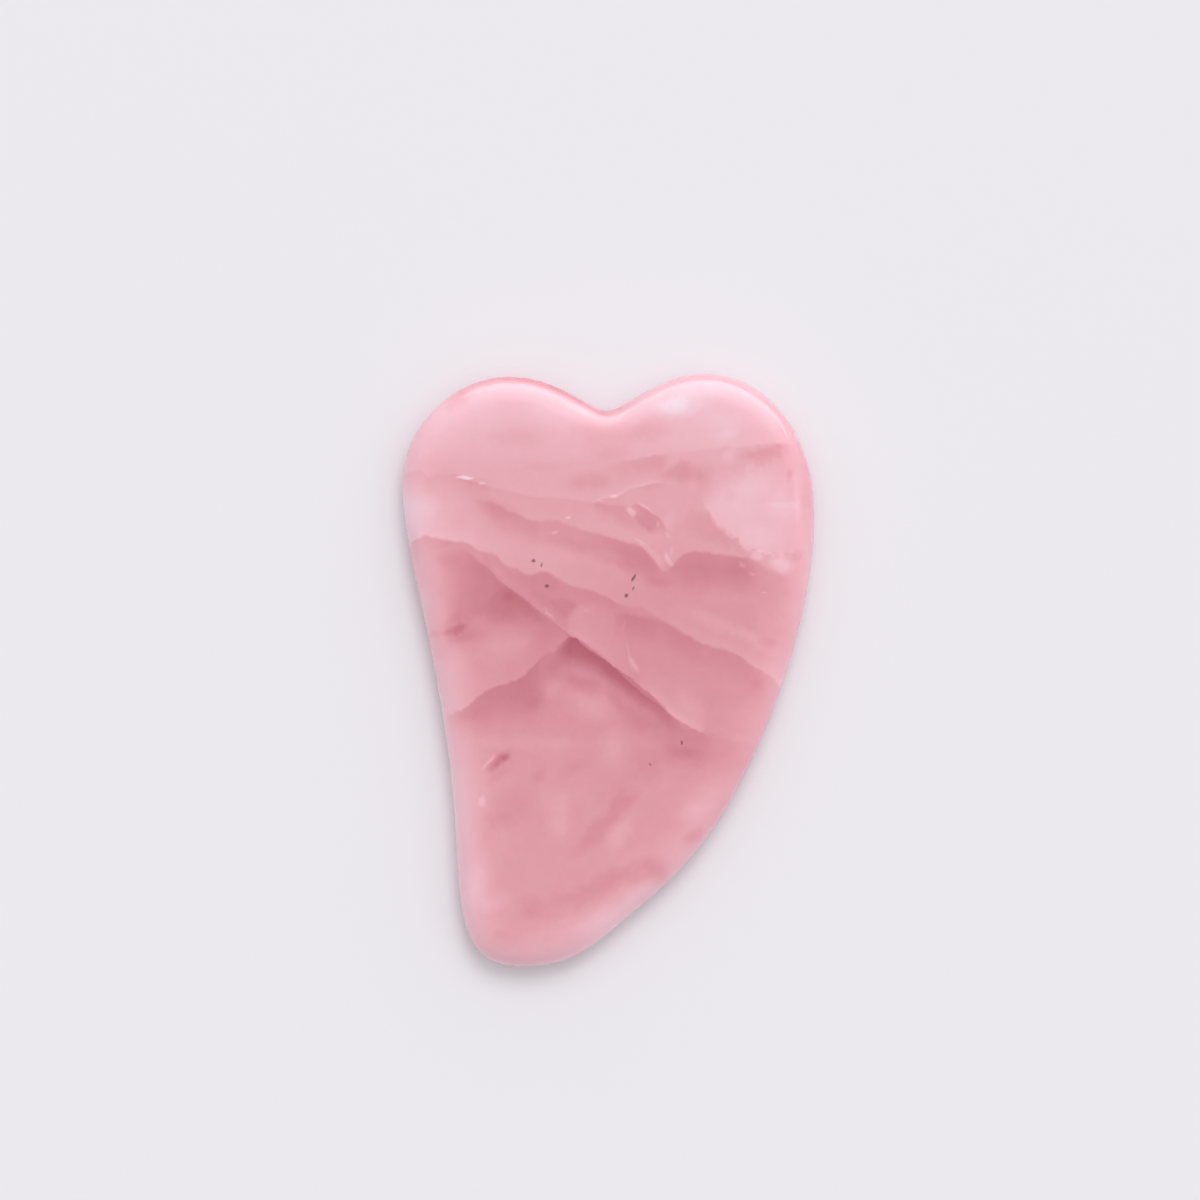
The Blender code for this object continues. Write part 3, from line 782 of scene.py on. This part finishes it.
def rose_quartz():
    material = bpy.data.materials.new("rose_quartz_polished")
    material.use_nodes = True
    tree = material.node_tree
    tree.nodes.clear()
    g = Graph(tree)
    tone, needles = stone_tone(g)
    ramp = g.add("ShaderNodeValToRGB")
    stops = ramp.color_ramp.elements
    low, high = TONE_RAMP[0][0], TONE_RAMP[-1][0]
    while len(stops) < len(TONE_RAMP):
        stops.new(0.5)
    for stop, (level, red, green, blue) in zip(stops, TONE_RAMP):
        stop.position = (level - low) / (high - low)
        stop.color = (
            [max((linear(c) - GLOSS_VEIL) / BODY_LIGHT, 0.0) for c in (red, green, blue)]
            + [1.0]
        )
    g.feed(g.step(tone, low, high, kind="LINEAR"), ramp.inputs["Fac"])
    mix = g.add("ShaderNodeMix", data_type="RGBA")
    g.feed(needles * 0.8, mix.inputs["Factor"])
    g.link(ramp.outputs["Color"], mix.inputs[6])
    mix.inputs[7].default_value = NEEDLE_COLOUR
    shader = g.add("ShaderNodeBsdfPrincipled")
    g.link(mix.outputs[2], shader.inputs["Base Color"])
    shader.inputs["IOR"].default_value = 1.54
    shader.inputs["Subsurface Weight"].default_value = SUBSURFACE
    shader.inputs["Subsurface Radius"].default_value = SUBSURFACE_RADIUS
    shader.inputs["Subsurface Scale"].default_value = SUBSURFACE_SCALE * MM
    # The polish: barely uneven, with fine wheel marks.
    rough = g.noise(2.5, 3.0, 0.6, (4.0, 1.0, 2.0)) * 0.02 + 0.085
    g.feed(rough, shader.inputs["Roughness"])
    swell = g.noise(7.0, 1.0, 0.5, (6.0, 3.0, 9.0)) * 5e-6
    orange_peel = g.noise(1.3, 2.0, 0.5, (2.0, 8.0, 4.0)) * 0.5e-6
    bump = g.add("ShaderNodeBump")
    bump.inputs["Strength"].default_value = 1.0
    bump.inputs["Distance"].default_value = 1.0
    g.feed(swell + orange_peel, bump.inputs["Height"])
    g.link(bump.outputs[0], shader.inputs["Normal"])
    output = g.add("ShaderNodeOutputMaterial")
    g.link(shader.outputs[0], output.inputs["Surface"])
    return material


# ------------------------------------------------------------ floor and light
def plain(name, colour, roughness):
    material = bpy.data.materials.new(name)
    material.use_nodes = True
    shader = material.node_tree.nodes["Principled BSDF"]
    shader.inputs["Base Color"].default_value = (*colour, 1.0)
    shader.inputs["Roughness"].default_value = roughness
    shader.inputs["Specular IOR Level"].default_value = 0.0
    return material


def pale_floor():
    mesh = bpy.data.meshes.new("pale_floor")
    r = 30.0
    mesh.from_pydata([(-r, -r, 0), (r, -r, 0), (r, r, 0), (-r, r, 0)], [], [(0, 1, 2, 3)])
    floor = bpy.data.objects.new("pale_floor", mesh)
    floor.location.z = -0.00002
    bpy.context.scene.collection.objects.link(floor)
    mesh.materials.append(plain("pale_floor", FLOOR_COLOUR, 1.0))
    return floor


def panel(name, bearing, elevation, distance, width, height, radiance, role):
    """A soft panel that faces the stone, either for its light or for its
    reflection in the polish. Its bearing is measured from +Y towards +X."""
    data = bpy.data.lights.new(name, "AREA")
    data.shape = "RECTANGLE"
    data.size, data.size_y = width, height
    data.energy = radiance * math.pi * width * height
    if role == "gloss":
        data.color = WINDOW_COLOUR
    light = bpy.data.objects.new(name, data)
    b, e = math.radians(bearing), math.radians(elevation)
    away = Vector((math.sin(b) * math.cos(e), math.cos(b) * math.cos(e), math.sin(e)))
    light.location = away * distance
    light.rotation_euler = away.to_track_quat("Z", "Y").to_euler()
    light.visible_camera = False
    light.visible_diffuse = role == "diffuse"
    light.visible_glossy = role == "gloss"
    bpy.context.scene.collection.objects.link(light)
    return light


def pale_world():
    """An even pale sky, brighter towards the window's side of the room."""
    world = bpy.data.worlds.new("pale_studio")
    world.use_nodes = True
    tree = world.node_tree
    tree.nodes.clear()
    towards = tree.nodes.new("ShaderNodeTexCoord")
    along = tree.nodes.new("ShaderNodeVectorMath")
    along.operation = "DOT_PRODUCT"
    b, e = math.radians(SKY_BEARING), math.radians(SKY_ELEVATION)
    along.inputs[1].default_value = (
        math.sin(b) * math.cos(e),
        math.cos(b) * math.cos(e),
        math.sin(e),
    )
    strength = tree.nodes.new("ShaderNodeMath")
    strength.operation = "MULTIPLY_ADD"
    strength.inputs[1].default_value = SKY * SKY_SLOPE
    strength.inputs[2].default_value = SKY
    fill = tree.nodes.new("ShaderNodeBackground")
    fill.inputs["Color"].default_value = (*SKY_COLOUR, 1.0)
    paths = tree.nodes.new("ShaderNodeLightPath")
    seen = tree.nodes.new("ShaderNodeBackground")
    seen.inputs["Color"].default_value = (*BACKDROP, 1.0)
    seen.inputs["Strength"].default_value = 1.0
    mix = tree.nodes.new("ShaderNodeMixShader")
    output = tree.nodes.new("ShaderNodeOutputWorld")
    tree.links.new(towards.outputs["Generated"], along.inputs[0])
    tree.links.new(along.outputs["Value"], strength.inputs[0])
    tree.links.new(strength.outputs[0], fill.inputs["Strength"])
    tree.links.new(paths.outputs["Is Camera Ray"], mix.inputs[0])
    tree.links.new(fill.outputs[0], mix.inputs[1])
    tree.links.new(seen.outputs[0], mix.inputs[2])
    tree.links.new(mix.outputs[0], output.inputs["Surface"])
    bpy.context.scene.world = world


def camera():
    data = bpy.data.cameras.new("camera")
    data.lens, data.sensor_width = 100.0, 36.0
    data.clip_start, data.clip_end = 0.01, 50.0
    obj = bpy.data.objects.new("camera", data)
    height = FRAME_WIDTH * MM * data.lens / data.sensor_width
    obj.location = (FRAME_CENTRE[0] * MM, FRAME_CENTRE[1] * MM, height + THICKNESS / 2.0 * MM)
    bpy.context.scene.collection.objects.link(obj)
    bpy.context.scene.camera = obj


FRAME_WIDTH = 162.0
FRAME_CENTRE = (-1.15, 9.45)
FLOOR_COLOUR = (0.86, 0.835, 0.875)
SKY_COLOUR = (1.0, 1.0, 1.0)
SKY = 0.655
SKY_BEARING = 25.0
SKY_ELEVATION = 25.0
SKY_SLOPE = 0.7
# Soft panels, as a tall window with a pale curtain: bearing from +Y towards +X,
# elevation, distance, width and height in metres, and radiance. They are there
# for their reflections in the polish. The sky lights the scene.
PANELS = (
    ("key", 14.0, 50.0, 6.0, 3.4, 2.6, 3.5, "diffuse"),
    ("window", 13.5, 25.5, 6.0, 10.4, 2.6, 3.3, "gloss"),
    ("window_head", 12.0, 47.0, 6.0, 7.8, 2.2, 1.8, "gloss"),
    ("window_ceiling", 12.0, 66.0, 6.0, 6.0, 1.8, 0.6, "gloss"),
)
WINDOW_COLOUR = (0.72, 0.96, 1.0)  # daylight in the panes that the polish reflects
BACKDROP = (0.84, 0.80, 0.855)
BODY_LIGHT = 0.93
GLOSS_VEIL = 0.022
SUBSURFACE = 1.0
SUBSURFACE_RADIUS = (0.6, 0.6, 0.65)
SUBSURFACE_SCALE = 8.0


def main():
    scene = bpy.context.scene
    scene.view_settings.view_transform = "Standard"
    scene.view_settings.look = "None"
    camera()
    pale_world()
    pale_floor()
    for name, *shape in PANELS:
        panel(name, *shape)
    stone = bpy.data.objects.new("rose_quartz_stone", stone_mesh())
    scene.collection.objects.link(stone)
    stone.data.materials.append(rose_quartz())
    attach(stone, "root")
    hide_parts("scraper_stone")


main()
